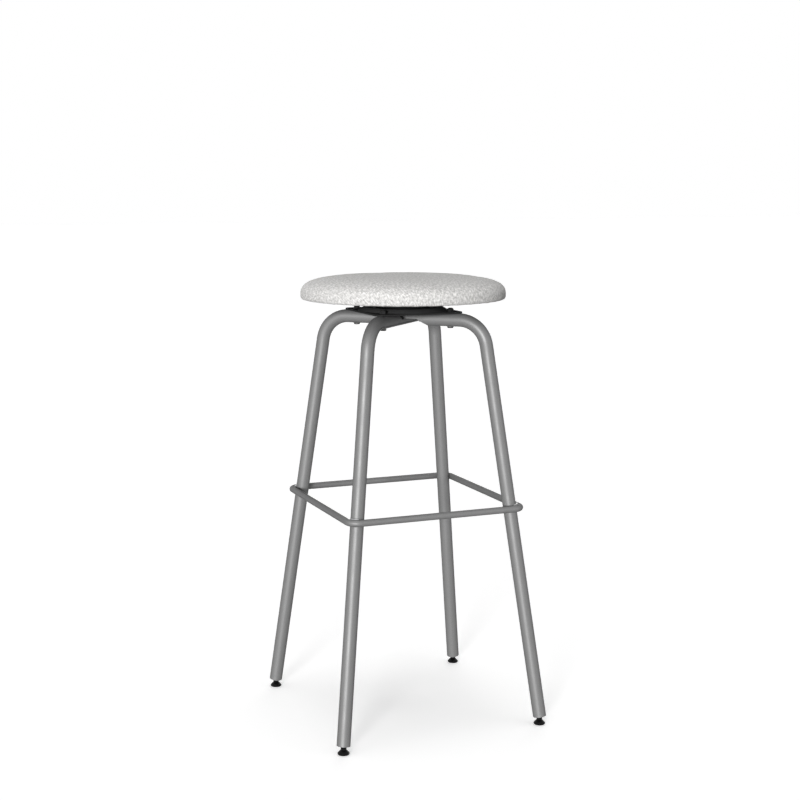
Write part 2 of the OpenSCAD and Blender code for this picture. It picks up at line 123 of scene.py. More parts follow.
def background(tree, seen, shed):
    """Mixes two shaders of a background. The first is seen by the camera, straight, mirrored
    or through glass. The second is the light that the background sheds on other surfaces."""
    path = tree.nodes.new("ShaderNodeLightPath").outputs
    straight = maths(tree, "MAXIMUM", path["Is Camera Ray"], path["Is Transmission Ray"])
    choice = tree.nodes.new("ShaderNodeMixShader")
    join(tree, maths(tree, "MAXIMUM", straight, path["Is Glossy Ray"]), choice.inputs[0])
    join(tree, shed.outputs[0], choice.inputs[1])
    join(tree, seen.outputs[0], choice.inputs[2])
    return choice.outputs[0]


# %% World
AMBIENT = 0.2

world = bpy.data.worlds.new("studio_world")
scene.world = world
world.use_nodes = True
tree = world.node_tree
tree.nodes.clear()
white = node(tree, "ShaderNodeBackground", Color=(*grey(1), 1), Strength=1.0)
dim = node(tree, "ShaderNodeBackground", Color=(*grey(1), 1), Strength=AMBIENT)
world_output = tree.nodes.new("ShaderNodeOutputWorld")
join(tree, background(tree, seen=white, shed=dim), world_output.inputs["Surface"])
print("world looks white and sheds", AMBIENT)

# %% Lamps
TOWARDS_CAMERA = 270 + CAMERA_TURN


def add_sun(name, compass, height, strength, width):
    """A sun lamp, width degrees wide, whose light comes from a compass angle about Z and a
    height, in degrees. The wider it is, the softer are its shadows."""
    data = bpy.data.lights.new(name, "SUN")
    data.energy = strength
    data.angle = math.radians(width)
    lamp = bpy.data.objects.new(name, data)
    lamp.rotation_euler = (math.radians(90 - height), 0, math.radians(compass + 90))
    scene.collection.objects.link(lamp)


add_sun("key_lamp", TOWARDS_CAMERA - 14, height=6, strength=4.15, width=14)
add_sun("side_lamp", TOWARDS_CAMERA - 52, height=8, strength=0.42, width=30)
add_sun("top_lamp", TOWARDS_CAMERA, height=90, strength=0.68, width=26)
add_sun("fill_lamp", TOWARDS_CAMERA + 70, height=8, strength=0.45, width=40)
add_sun("rear_lamp", TOWARDS_CAMERA + 170, height=9, strength=1.3, width=50)

# %% [markdown]
# ## Floor
# The floor is one large sheet at height 0. It keeps the stool's shadow, but the camera
# must see it as white wherever no shadow falls. So it is part paint, which takes the
# shadow, and part glow, which lifts the paint to white. Mirrored, it is as white. The
# light that it sheds is dull, so that the object isn't lit from below.

# %% Floor
FLOOR_HALF = 30.0
SQUARE = ((-1, -1), (1, -1), (1, 1), (-1, 1))

floor_mesh = bpy.data.meshes.new("floor")
floor_corners = [(x * FLOOR_HALF, y * FLOOR_HALF, 0) for x, y in SQUARE]
floor_mesh.from_pydata(floor_corners, [], [(0, 1, 2, 3)])
floor = bpy.data.objects.new("floor", floor_mesh)
scene.collection.objects.link(floor)
print("floor", 2 * FLOOR_HALF, "m wide")

# %% Floor finish
FLOOR_PAINT = 0.9
FLOOR_GLOW = 0.43
FLOOR_BOUNCE = 0.12

floor_white = bpy.data.materials.new("floor_white")
floor_white.use_nodes = True
tree = floor_white.node_tree
tree.nodes.clear()
paint = node(tree, "ShaderNodeBsdfDiffuse", Color=(*grey(FLOOR_PAINT), 1))
glow = node(tree, "ShaderNodeEmission", Color=(*grey(FLOOR_GLOW), 1))
lit = tree.nodes.new("ShaderNodeAddShader")
join(tree, paint.outputs[0], lit.inputs[0])
join(tree, glow.outputs[0], lit.inputs[1])
dull = node(tree, "ShaderNodeBsdfDiffuse", Color=(*grey(FLOOR_BOUNCE), 1))
floor_output = tree.nodes.new("ShaderNodeOutputMaterial")
join(tree, background(tree, seen=lit, shed=dull), floor_output.inputs["Surface"])
floor_mesh.materials.append(floor_white)
print(floor_white.name, "paint", FLOOR_PAINT, "glow", FLOOR_GLOW)

# %% [markdown]
# ## Finish helpers
# Each finish below starts from the same shader and adds what its real surface shows.
# Patterns read Object coordinates, which are metres here, or the cloth's own flat
# pattern. A Mapping node scales metres to a pattern whose detail is about one unit, so
# each size is written as the real size of the detail.


# %% Material and its coordinates
def finish(name, colour, roughness, metallic=0.0, gloss=0.5):
    """A material with one Principled shader: returns it, its node tree and the shader."""
    made = bpy.data.materials.new(name)
    made.use_nodes = True
    tree = made.node_tree
    shader = tree.nodes["Principled BSDF"]
    shader.inputs["Base Color"].default_value = (*colour, 1)
    shader.inputs["Roughness"].default_value = roughness
    shader.inputs["Metallic"].default_value = metallic
    shader.inputs["Specular IOR Level"].default_value = gloss
    made.diffuse_color = (*colour, 1)
    return made, tree, shader


def places(tree, size, turn=0.0, pattern=None):
    """Object coordinates, or those of the UV map named pattern, turned about Z by degrees
    and divided by size, which is one number or three, in metres."""
    mapping = tree.nodes.new("ShaderNodeMapping")
    mapping.vector_type = "TEXTURE"
    mapping.inputs["Rotation"].default_value = (0, 0, math.radians(turn))
    mapping.inputs["Scale"].default_value = (size,) * 3 if isinstance(size, float) else size
    if pattern:
        source = tree.nodes.new("ShaderNodeUVMap")
        source.uv_map = pattern
        join(tree, source.outputs["UV"], mapping.inputs["Vector"])
    else:
        source = tree.nodes.new("ShaderNodeTexCoord")
        join(tree, source.outputs["Object"], mapping.inputs["Vector"])
    return mapping.outputs["Vector"]


def upward(tree, kind):
    """The Z part of the Object coordinates, in metres, or of the Normal, from -1 to 1."""
    source = tree.nodes.new("ShaderNodeTexCoord")
    split = tree.nodes.new("ShaderNodeSeparateXYZ")
    join(tree, source.outputs[kind], split.inputs["Vector"])
    return split.outputs["Z"]


# %% Patterns, ranges and colours
def noise(tree, where, detail=2.0, rough=0.5):
    """A Noise texture with features about one unit across at the given coordinates."""
    made = node(tree, "ShaderNodeTexNoise", Scale=1.0, Detail=detail, Roughness=rough)
    join(tree, where, made.inputs["Vector"])
    return made.outputs["Fac"]


def spread(tree, value, low, high, start=0.3, end=0.7):
    """Maps value from start to end onto low to high, held at both ends."""
    made = node(tree, "ShaderNodeMapRange", From_Min=start, From_Max=end, To_Min=low, To_Max=high)
    join(tree, value, made.inputs["Value"])
    return made.outputs["Result"]


def colours(tree, value, *stops):
    """A Color Ramp on value, from stops of (position, (r, g, b))."""
    ramp = tree.nodes.new("ShaderNodeValToRGB")
    band = ramp.color_ramp
    while len(band.elements) < len(stops):
        band.elements.new(0.5)
    for element, (position, colour) in zip(band.elements, stops):
        element.position = position
        element.color = (*colour, 1)
    join(tree, value, ramp.inputs["Fac"])
    return ramp.outputs["Color"]


def mixed(tree, factor, first, second, kind="Float"):
    """first where factor is 0 and second where it is 1: numbers, or colours if kind is Color."""
    made = tree.nodes.new("ShaderNodeMix")
    made.data_type = "RGBA" if kind == "Color" else "FLOAT"
    sockets = {socket.identifier: socket for socket in (*made.inputs, *made.outputs)}
    join(tree, factor, sockets["Factor_Float"])
    join(tree, first, sockets["A_" + kind])
    join(tree, second, sockets["B_" + kind])
    return sockets["Result_" + kind]


# %% Relief and dressing
def relief(tree, shader, height, depth, below=None):
    """Bumps the shader by a height from 0 to 1 that is depth metres high, over an earlier bump."""
    bump = node(tree, "ShaderNodeBump", Strength=1.0, Distance=depth)
    join(tree, height, bump.inputs["Height"])
    if below:
        join(tree, below, bump.inputs["Normal"])
    join(tree, bump.outputs["Normal"], shader.inputs["Normal"])
    return bump.outputs["Normal"]


def dress(material, *names):
    """Puts the material in every slot of the named CAD nodes."""
    for name in names:
        mesh = nodes[name].data
        mesh.materials.clear()
        mesh.materials.append(material)
    print(material.name, "on", len(names), "nodes")


# %% [markdown]
# ## Powder coat on the frame
# The hoops and the ring are steel with a silver-grey powder coat. Real powder coat has a
# slight orange peel, a few millimetres wide, and this one holds a fine metal fleck that
# makes it sparkle a little unevenly. A plain metal shader would mirror the white studio
# and look like chrome, and plain paint would lose the bright line along each tube. So
# the coat is partly metal and rough, with little gloss and a dark edge where it is seen
# at a slant, and noise gives the fleck its colour and the peel its relief.

# %% Powder coat
FLECK_W = 0.5 * MM
FLECK_H = 0.012 * MM
PEEL_W = 2.4 * MM
PEEL_H = 0.03 * MM
CLOUD_W = 30 * MM
EDGE_TINT = 0.1

coat, tree, shader = finish("frame_coat", grey(0.187), 0.5, metallic=0.4, gloss=0.05)
shader.inputs["Specular Tint"].default_value = (*grey(EDGE_TINT), 1)
fleck = noise(tree, places(tree, FLECK_W), detail=1.0)
join(tree, colours(tree, fleck, (0.3, grey(0.154)), (0.7, grey(0.22))),
     shader.inputs["Base Color"])
cloud = noise(tree, places(tree, CLOUD_W), detail=3.0)
join(tree, spread(tree, cloud, 0.47, 0.55), shader.inputs["Roughness"])
peel = relief(tree, shader, noise(tree, places(tree, PEEL_W), detail=1.0), PEEL_H)
relief(tree, shader, fleck, FLECK_H, below=peel)
dress(coat, "hoop_lower", "hoop_upper", "foot_ring")

# %% Weld beads under the coat
RIPPLE_SIZE = (3 * MM, 3 * MM, 1.2 * MM)
RIPPLE_H = 0.35 * MM

# The beads wear the frame's coat, but their colour is painted lighter than the frame's: painted
# light against the shade on the crossing welds under the base plate.
lightened_bead, tree, shader = finish("bead_coat_lightened", (0.3, 0.302, 0.305), 0.4, metallic=0.3, gloss=0.3)
ripple = noise(tree, places(tree, RIPPLE_SIZE), detail=2.0)
join(tree, colours(tree, ripple, (0.3, (0.22, 0.222, 0.224)), (0.7, (0.38, 0.382, 0.385))),
     shader.inputs["Base Color"])
relief(tree, shader, ripple, RIPPLE_H)
dress(lightened_bead, "crossing_welds", "ring_welds")

# %% [markdown]
# ## Black plastic of the glides
# The feet are moulded in glossy black plastic. Their gloss shows small scuffs where they
# slide on the floor, so the lowest part is duller. Height alone tells it: the scuffs
# fade out a few millimetres above the floor.

# %% Glides and plugs
CORNERS = ("front_left", "front_right", "back_right", "back_left")
SCUFF_H = 4 * MM
SCUFF_SIZE = (4 * MM, 4 * MM, 0.6 * MM)
SHINE_W = 6 * MM
MOULD_W = 1.2 * MM
MOULD_H = 0.01 * MM

glide, tree, shader = finish("glide_plastic", (0.003, 0.003, 0.0032), 0.22, gloss=0.12)
smooth = spread(tree, noise(tree, places(tree, SHINE_W), detail=3.0), 0.17, 0.27)
scuff = spread(tree, noise(tree, places(tree, SCUFF_SIZE), detail=3.0), 0.0, 0.4)
low_part = spread(tree, upward(tree, "Object"), 1.0, 0.0, 0.0, SCUFF_H)
join(tree, maths(tree, "ADD", smooth, maths(tree, "MULTIPLY", scuff, low_part)),
     shader.inputs["Roughness"])
relief(tree, shader, noise(tree, places(tree, MOULD_W)), MOULD_H)
dress(glide, *("glide_foot_" + corner for corner in CORNERS),
      *("glide_plug_" + corner for corner in CORNERS))

# %% [markdown]
# ## Black swivel plates and fasteners
# The pressed plates have a thin satin black coat, which the photograph shows as an even
# dark band. Faces that look up lie in the seat's shade, and their colour is painted
# lighter in mottled patches, as painted light, so they are no darker than the edges that
# face the lamps. The bolts, nuts and screws are black plated, a little shinier, with fine
# marks from turning.

# %% Plates
MOTTLE_W = 9 * MM
PRESSED_W = 0.8 * MM
PRESSED_H = 0.02 * MM

plate, tree, shader = finish("plate_coat", (0.031, 0.031, 0.0315), 0.75, gloss=0.04)
mottle = noise(tree, places(tree, MOTTLE_W), detail=4.0, rough=0.6)
faces_up = spread(tree, upward(tree, "Normal"), 0.0, 1.0, 0.2, 0.8)
# Painted light: faces that look up, which the seat shades, get a lighter colour in mottled
# patches.
painted_lift_up = maths(tree, "MULTIPLY", faces_up, spread(tree, mottle, 0.7, 1.0))
join(tree, colours(tree, painted_lift_up, (0.0, (0.021, 0.021, 0.0213)), (1.0, (0.048, 0.048, 0.0485))),
     shader.inputs["Base Color"])
join(tree, spread(tree, mottle, 0.68, 0.82), shader.inputs["Roughness"])
relief(tree, shader, noise(tree, places(tree, PRESSED_W)), PRESSED_H)
dress(plate, "base_plate", "seat_plate")

# %% Fasteners
MARK_SIZE = (2 * MM, 2 * MM, 0.25 * MM)
MARK_H = 0.02 * MM

plated, tree, shader = finish("black_steel", (0.021, 0.021, 0.0214), 0.7, gloss=0.06)
marks = noise(tree, places(tree, MARK_SIZE), detail=2.0)
join(tree, colours(tree, marks, (0.3, (0.017, 0.017, 0.0174)), (0.7, (0.026, 0.026, 0.0265))),
     shader.inputs["Base Color"])
join(tree, spread(tree, marks, 0.62, 0.78), shader.inputs["Roughness"])
relief(tree, shader, marks, MARK_H)
dress(plated, "hoop_bolts", "lock_nuts", "seat_screws", "lower_race", "upper_race")

# %% [markdown]
# ## Bright steel and nylon in the bearing
# The balls, spindle and tee nuts are plain plated steel: a real metal shader, with faint
# turned rings as its relief. Rings about the swivel's axis come from the distance to that
# axis. The washers under the frame bolts are zinc that has gone dull. The bush and the
# thrust washer are natural nylon, milky and slightly see-through, which a little
# subsurface light gives. The ball cage is black nylon, because no light part shows in
# the swivel's gap.

# %% Distance to the axis
def from_axis(tree):
    """Distance to the Z axis, in metres: the length of (x, y, 0)."""
    source = tree.nodes.new("ShaderNodeTexCoord")
    level = tree.nodes.new("ShaderNodeVectorMath")
    level.operation = "MULTIPLY"
    level.inputs[1].default_value = (1, 1, 0)
    join(tree, source.outputs["Object"], level.inputs[0])
    reach = tree.nodes.new("ShaderNodeVectorMath")
    reach.operation = "LENGTH"
    join(tree, level.outputs["Vector"], reach.inputs[0])
    return reach.outputs["Value"]


# %% Bright steel
RING_STEP = 0.35 * MM
RING_H = 0.004 * MM
STAIN_W = 5 * MM

bright, tree, shader = finish("bright_steel", (0.62, 0.62, 0.60), 0.3, metallic=1.0)
rings = maths(tree, "SINE", maths(tree, "MULTIPLY", from_axis(tree), 2 * math.pi / RING_STEP))
stain = noise(tree, places(tree, STAIN_W), detail=4.0)
join(tree, colours(tree, stain, (0.3, (0.52, 0.52, 0.51)), (0.7, (0.68, 0.68, 0.66))),
     shader.inputs["Base Color"])
join(tree, spread(tree, stain, 0.24, 0.38), shader.inputs["Roughness"])
relief(tree, shader, spread(tree, rings, 0.0, 1.0, -1.0, 1.0), RING_H)
dress(bright, "spindle", "bearing_balls", "tee_nuts")

# %% Dull zinc washers
BLOOM_W = 1.6 * MM
BLOOM_H = 0.02 * MM

zinc, tree, shader = finish("dull_zinc", (0.16, 0.16, 0.158), 0.55, metallic=1.0)
bloom = noise(tree, places(tree, BLOOM_W), detail=4.0)
join(tree, colours(tree, bloom, (0.3, (0.12, 0.12, 0.119)), (0.7, (0.20, 0.20, 0.197))),
     shader.inputs["Base Color"])
join(tree, spread(tree, bloom, 0.48, 0.62), shader.inputs["Roughness"])
relief(tree, shader, bloom, BLOOM_H)
dress(zinc, "bolt_washers")

# %% Nylon
MILK_W = 4 * MM
MILK_DEPTH = 1.5 * MM
NYLON_SKIN_W = 0.7 * MM
NYLON_SKIN_H = 0.015 * MM

nylon, tree, shader = finish("white_nylon", (0.80, 0.79, 0.76), 0.42)
shader.inputs["Subsurface Weight"].default_value = 0.3
shader.inputs["Subsurface Radius"].default_value = (1.0, 0.9, 0.8)
shader.inputs["Subsurface Scale"].default_value = MILK_DEPTH
milk = noise(tree, places(tree, MILK_W), detail=3.0)
join(tree, colours(tree, milk, (0.3, (0.76, 0.75, 0.71)), (0.7, (0.83, 0.82, 0.79))),
     shader.inputs["Base Color"])
join(tree, spread(tree, milk, 0.36, 0.48), shader.inputs["Roughness"])
relief(tree, shader, noise(tree, places(tree, NYLON_SKIN_W)), NYLON_SKIN_H)
dress(nylon, "spacer_bush", "thrust_washer")

# %% Black nylon of the ball cage
dark_nylon, tree, shader = finish("black_nylon", (0.047, 0.047, 0.048), 0.6, gloss=0.15)
cloud = noise(tree, places(tree, MILK_W), detail=3.0)
join(tree, colours(tree, cloud, (0.3, (0.037, 0.037, 0.038)), (0.7, (0.057, 0.057, 0.058))),
     shader.inputs["Base Color"])
join(tree, spread(tree, cloud, 0.52, 0.68), shader.inputs["Roughness"])
relief(tree, shader, noise(tree, places(tree, NYLON_SKIN_W)), NYLON_SKIN_H)
dress(dark_nylon, "ball_cage")

# %% [markdown]
# ## Plywood board
# The seat board is birch plywood. Its faces show long grain along one direction, and its
# edge shows the plies as bands of height, each second one darker because it is cut
# across the grain. One noise stretched along X makes the grain, and the bands are mixed
# in only where the surface stands upright, which is where its normal lies flat.

# %% Plywood
PLY_T = 1.7 * MM
GRAIN_SIZE = (90 * MM, 2.2 * MM, 5 * MM)
GRAIN_H = 0.08 * MM

board, tree, shader = finish("board_ply", (0.60, 0.44, 0.27), 0.62)
grain = noise(tree, places(tree, GRAIN_SIZE), detail=5.0, rough=0.6)
face_colour = colours(tree, grain, (0.35, (0.46, 0.31, 0.17)), (0.5, (0.60, 0.44, 0.27)),
                      (0.68, (0.68, 0.52, 0.34)))
plies = maths(tree, "SINE", maths(tree, "MULTIPLY", upward(tree, "Object"), math.pi / PLY_T))
edge_colour = colours(tree, spread(tree, plies, 0.0, 1.0, -0.3, 0.3),
                      (0.0, (0.34, 0.21, 0.11)), (1.0, (0.66, 0.50, 0.33)))
upright = spread(tree, maths(tree, "ABSOLUTE", upward(tree, "Normal")), 1.0, 0.0, 0.3, 0.6)
join(tree, mixed(tree, upright, face_colour, edge_colour, "Color"), shader.inputs["Base Color"])
join(tree, spread(tree, grain, 0.55, 0.72), shader.inputs["Roughness"])
relief(tree, shader, grain, GRAIN_H)
dress(board, "seat_board")

# %% [markdown]
# ## Shape of the padded seat
# The cover and the foam share one half section: a crown that is a superellipse, flat in
# the middle and full at the shoulder, a widest level near the bottom, and a tight edge
# that turns in under the board. Its numbers are those the CAD solids were drawn with. An
# inset draws the same section in evenly, so the foam fits inside its cover.

# %% Half section of the seat
cover_low, cover_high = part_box("seat_cover")
SEAT_R = cover_high.x
SEAT_LOW = cover_low.z
SEAT_TOP = cover_high.z
EDGE_H = 5.6 * MM
EDGE_IN = 4 * MM
CROWN_ACROSS = 4.2
CROWN_UP = 3.2
HEM_R = 168 * MM
COVER_T = 1.1 * MM


def half_section(inset, inner_r, crown_steps=1500, edge_steps=200, hem_steps=50):
    """Radius and height along the seat's skin, from the crown's middle to inner_r below.
    Crown: r = R cos(a)^(2/across), z = mid + (top - mid) sin(a)^(2/up), a from 90 to 0 degrees.
    Edge: r = R - in (1 - cos b), z = mid - (mid - low) sin(b), b from 0 to 90 degrees."""
    widest = SEAT_R - inset
    low = SEAT_LOW + inset
    top = SEAT_TOP - inset
    mid = SEAT_LOW + EDGE_H
    a = np.linspace(np.pi / 2, 0, crown_steps)
    b = np.linspace(0, np.pi / 2, edge_steps)[1:]
    flat_r = np.linspace(widest - EDGE_IN, inner_r, hem_steps)[1:]
    crown_r = widest * np.cos(a).clip(0) ** (2 / CROWN_ACROSS)
    crown_z = mid + (top - mid) * np.sin(a).clip(0) ** (2 / CROWN_UP)
    edge_r = widest - EDGE_IN * (1 - np.cos(b))
    edge_z = mid - (mid - low) * np.sin(b)
    r = np.concatenate([crown_r, edge_r, flat_r])
    z = np.concatenate([crown_z, edge_z, np.full(flat_r.size, low)])
    return r, z


def run_length(r, z):
    """Length along a line of points, from its first point."""
    return np.concatenate([[0.0], np.cumsum(np.hypot(np.diff(r), np.diff(z)))])


skin_r, skin_z = half_section(0.0, HEM_R)
skin_s = run_length(skin_r, skin_z)
SKIN = skin_s[-1]
heading = np.unwrap(np.arctan2(np.gradient(skin_z, skin_s), np.gradient(skin_r, skin_s)))
skin_turn = np.maximum.accumulate(np.abs(heading - heading[0]))
print("cover from middle to hem", round(SKIN, 4), "m")
print("turning in all", round(math.degrees(skin_turn[-1])), "degrees")

# %% [markdown]
# ## Round grids without a pole
# A disc of cloth made of rings and spokes has a pinched pole in its middle, which
# spoils both cloth simulation and shading. A square grid bent to a disc has none: each
# grid point (u, v) goes to x = u sqrt(1 - v²/2), y = v sqrt(1 - u²/2), which keeps the
# rows evenly spaced. The distance from the middle then says how far along the section a
# point lies.


# %% Grid helpers
TINY = 1e-9


def round_grid(n):
    """Distance from the middle, 0 to 1, and direction cosines of an n by n grid bent to a disc."""
    t = np.linspace(-1, 1, n)
    u, v = np.meshgrid(t, t)
    x = u * np.sqrt(1 - v * v / 2)
    y = v * np.sqrt(1 - u * u / 2)
    rho = np.hypot(x, y)
    divisor = np.maximum(rho, TINY)
    return rho, x / divisor, y / divisor


def grid_faces(rows, columns, closed=False):
    """Quads of a grid of rows by columns points, the last column joined to the first if closed."""
    index = np.arange(rows * columns).reshape(rows, columns)
    if closed:
        index = np.concatenate([index, index[:, :1]], axis=1)
    corners = (index[:-1, :-1], index[:-1, 1:], index[1:, 1:], index[1:, :-1])
    return np.stack(corners, -1).reshape(-1, 4)


# %% Pieces from points and faces
def make_piece(name, points, faces, smooth=True):
    """A mesh object from an array of points and an array or list of faces, in the scene."""
    mesh = bpy.data.meshes.new(name)
    face_list = faces.tolist() if isinstance(faces, np.ndarray) else faces
    mesh.from_pydata(points.reshape(-1, 3).tolist(), [], face_list)
    mesh.polygons.foreach_set("use_smooth", np.full(len(mesh.polygons), smooth))
    mesh.update()
    piece = bpy.data.objects.new(name, mesh)
    scene.collection.objects.link(piece)
    return piece


def on_skin(arc, across_x, across_y):
    """Points (r x, r y, z), where r and z are the section's at a distance arc along it."""
    r = np.interp(arc, skin_s, skin_r)
    z = np.interp(arc, skin_s, skin_z)
    return np.stack([r * across_x, r * across_y, z], -1)


# %% [markdown]
# ## Tension in the cover
# A real cover is a flat disc of cloth pulled over round foam and stapled underneath, so
# it isn't a perfect solid of revolution. The weave pulls straight along its own threads
# and gives on the bias, which leaves faint flats and swells. A short cloth simulation of
# the cover finds them: the hem is pinned, air pressure stands for the foam, and gravity
# is off. Its movement is capped. Only the uneven part of it, which differs around each
# ring, goes into the cover, and only a quarter of that, so that it stays as faint as in
# the photograph. The even part is already in the measured section.

# %% Cloth simulation
SIM_POINTS = 101
SIM_FRAMES = 20
PINNED = 8.5 * MM

sim_rho, sim_x, sim_y = round_grid(SIM_POINTS)
sim_rest = on_skin(sim_rho * SKIN, sim_x, sim_y)
trial = make_piece("cover_trial", sim_rest, grid_faces(SIM_POINTS, SIM_POINTS))
pins = trial.vertex_groups.new(name="hem")
hem_points = np.nonzero((sim_rho * SKIN > SKIN - PINNED).ravel())[0]
pins.add(hem_points.tolist(), 1.0, "REPLACE")
cloth = trial.modifiers.new("cloth", "CLOTH")
cloth.settings.quality = 6
cloth.settings.use_pressure = True
cloth.settings.uniform_pressure_force = 4
cloth.settings.tension_stiffness = 60
cloth.settings.compression_stiffness = 60
cloth.settings.shear_stiffness = 20
cloth.settings.effector_weights.gravity = 0
cloth.settings.vertex_group_mass = "hem"
cloth.point_cache.frame_start = 1
cloth.point_cache.frame_end = SIM_FRAMES
for step in range(1, SIM_FRAMES + 1):
    scene.frame_set(step)
print("cloth trial of", SIM_POINTS, "points a side over", SIM_FRAMES, "frames")

# %% Movement of the cloth
MOVE_CAP = 14 * MM

moved = trial.evaluated_get(bpy.context.evaluated_depsgraph_get()).data
settled = np.empty(SIM_POINTS * SIM_POINTS * 3)
moved.vertices.foreach_get("co", settled)
shift = settled.reshape(sim_rest.shape) - sim_rest
far = np.linalg.norm(shift, axis=-1, keepdims=True)
shift *= np.minimum(1.0, MOVE_CAP / np.maximum(far, TINY))
scene.frame_set(1)
bpy.data.objects.remove(trial)
print("cloth moved up to", round(far.max() / MM, 1), "mm, kept to", MOVE_CAP / MM, "mm")

# %% Uneven part of the movement
RINGS = 60
TENSION_KEPT = 0.25

outward = shift[..., 0] * sim_x + shift[..., 1] * sim_y
uneven = np.stack([outward, shift[..., 2]], -1)
ring_of = np.clip((sim_rho * RINGS).astype(int), 0, RINGS - 1)
ring_count = np.maximum(np.bincount(ring_of.ravel(), minlength=RINGS), 1)
for axis in (0, 1):
    ring_mean = np.bincount(ring_of.ravel(), uneven[..., axis].ravel(), RINGS) / ring_count
    uneven[..., axis] -= np.interp(sim_rho * RINGS - 0.5, np.arange(RINGS), ring_mean)
uneven *= TENSION_KEPT
print("uneven part", round(np.abs(uneven).max() / MM, 2), "mm at most,",
      round(uneven.std() / MM, 2), "mm spread")

# %% [markdown]
# ## Seat cover
# The visible cover is a finer grid on the measured section plus that uneven part, which
# fades out just above the edge. Its rows lie closer together where the cloth turns, so
# each takes an equal share of the length and of the turning together. Underneath, the
# cloth is gathered in small pleats where it was pulled over the staples, a sum of three
# waves around the edge so that no two pleats are alike. Solidify gives the cloth its
# thickness. The flat pattern is stored as a UV map in metres, (u, v) = distance along
# the cloth from its middle times the direction, so that the weave follows the cut.

# %% Reading a grid between its points
JUST_INSIDE = 1e-6


def between(grid, rho, direction_x, direction_y):
    """Reads a value on the trial grid at other places on the disc, by straight blending.
    The grid place of a disc point (x, y) is found from u² = (2 + x² - y² ± root) / 2."""
    x = rho * direction_x
    y = rho * direction_y
    squares = x * x - y * y
    root_u = np.sqrt(np.maximum((2 + squares) ** 2 - 8 * x * x, 0))
    root_v = np.sqrt(np.maximum((2 - squares) ** 2 - 8 * y * y, 0))
    u = np.sign(x) * np.sqrt(np.maximum((2 + squares - root_u) / 2, 0))
    v = np.sign(y) * np.sqrt(np.maximum((2 - squares - root_v) / 2, 0))
    last = grid.shape[0] - 1
    column = np.clip((u + 1) / 2 * last, 0, last - JUST_INSIDE)
    row = np.clip((v + 1) / 2 * last, 0, last - JUST_INSIDE)
    left = column.astype(int)
    lower = row.astype(int)
    to_right = (column - left)[..., None]
    to_upper = (row - lower)[..., None]
    on_lower = grid[lower, left] * (1 - to_right) + grid[lower, left + 1] * to_right
    on_upper = grid[lower + 1, left] * (1 - to_right) + grid[lower + 1, left + 1] * to_right
    return on_lower * (1 - to_upper) + on_upper * to_upper


# %% Cover surface
COVER_POINTS = 181
TURN_SHARE = 0.8
STILL_W = 12 * MM

rho, across_x, across_y = round_grid(COVER_POINTS)
effort = skin_s / SKIN + TURN_SHARE * skin_turn / skin_turn[-1]
arc = np.interp(rho, effort / effort[-1], skin_s)
run = arc / SKIN
cover_points = on_skin(arc, across_x, across_y)
edge_arc = np.interp(SEAT_LOW + EDGE_H, skin_z[::-1], skin_s[::-1])
still = np.clip((edge_arc - STILL_W - arc) / STILL_W, 0, 1)
pull = between(uneven, run, across_x, across_y) * still[..., None]
cover_points[..., 0] += pull[..., 0] * across_x
cover_points[..., 1] += pull[..., 0] * across_y
cover_points[..., 2] += pull[..., 1]
print("cover grid", COVER_POINTS, "points a side, edge at", round(edge_arc, 4), "m")

# %% Pleats under the edge
PLEATS = 44
WIDE_PLEATS = 31
FINE_PLEATS = 67
PLEAT_H = 0.7 * MM
LAP_R = 180 * MM

angle = np.arctan2(across_y, across_x)
lap_arc = SKIN - (LAP_R - HEM_R)
wave = np.cos(PLEATS * angle + 1.3 * np.sin(5 * angle))
wave += 0.6 * np.cos(WIDE_PLEATS * angle + 0.7)
wave += 0.4 * np.cos(FINE_PLEATS * angle + 2.1 * np.sin(3 * angle))
under = np.clip((arc - edge_arc) / (lap_arc - edge_arc), 0, 1)
fade = np.sin(np.pi * under) * (arc < lap_arc)
cover_points[..., 2] -= PLEAT_H * np.maximum(wave, 0) / 2 * fade
print("pleats between arcs", round(edge_arc, 4), "and", round(lap_arc, 4), "m")

# %% Cover piece
cover = make_piece("seat_cover_cloth", cover_points, grid_faces(COVER_POINTS, COVER_POINTS))
pattern = cover.data.uv_layers.new(name="flat_cut")
corner_points = np.empty(len(cover.data.loops), dtype=np.int32)
cover.data.loops.foreach_get("vertex_index", corner_points)
flat_cut = np.stack([arc * across_x, arc * across_y], -1).reshape(-1, 2)[corner_points]
pattern.data.foreach_set("uv", flat_cut.ravel())
wall = cover.modifiers.new("cloth_thickness", "SOLIDIFY")
wall.thickness = COVER_T
wall.offset = -1.0
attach(cover, "seat")
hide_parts("seat_cover")
print("cover faces", len(cover.data.polygons))

# %% [markdown]
# ## Woven cloth of the cover
# The cloth is a light grey plain weave of thick soft yarn, with short pale and dark
# flecks along both sets of threads, most along one. The weave is built from two sets of
# waves across each other: a checker pattern says which thread lies on top at each
# crossing. The flecks are noise stretched along the threads. All of it reads the flat
# pattern, so it bends over the edge as cut cloth does: the flecks stand upright where
# the threads run outwards and lie aslant a little further round.

# %% Threads on the flat pattern
THREAD_TURN = CAMERA_TURN + 30.0
WAVE_UNIT = 2 * math.pi / 20


def on_cloth(tree, size):
    """Places on the cover's flat pattern, turned to lie along its threads."""
    return places(tree, size, THREAD_TURN, "flat_cut")


def threads(tree, where, direction):
    """One set of round threads a unit apart, as a wave across the direction."""
    wave = node(tree, "ShaderNodeTexWave", Scale=WAVE_UNIT, Distortion=0.0)
    wave.bands_direction = direction
    join(tree, where, wave.inputs["Vector"])
    return wave.outputs["Fac"]


# %% Weave and fluff of the cover
YARN = 1.7 * MM
YARN_H = 0.16 * MM
FLUFF_W = 0.45 * MM
FLUFF_H = 0.12 * MM

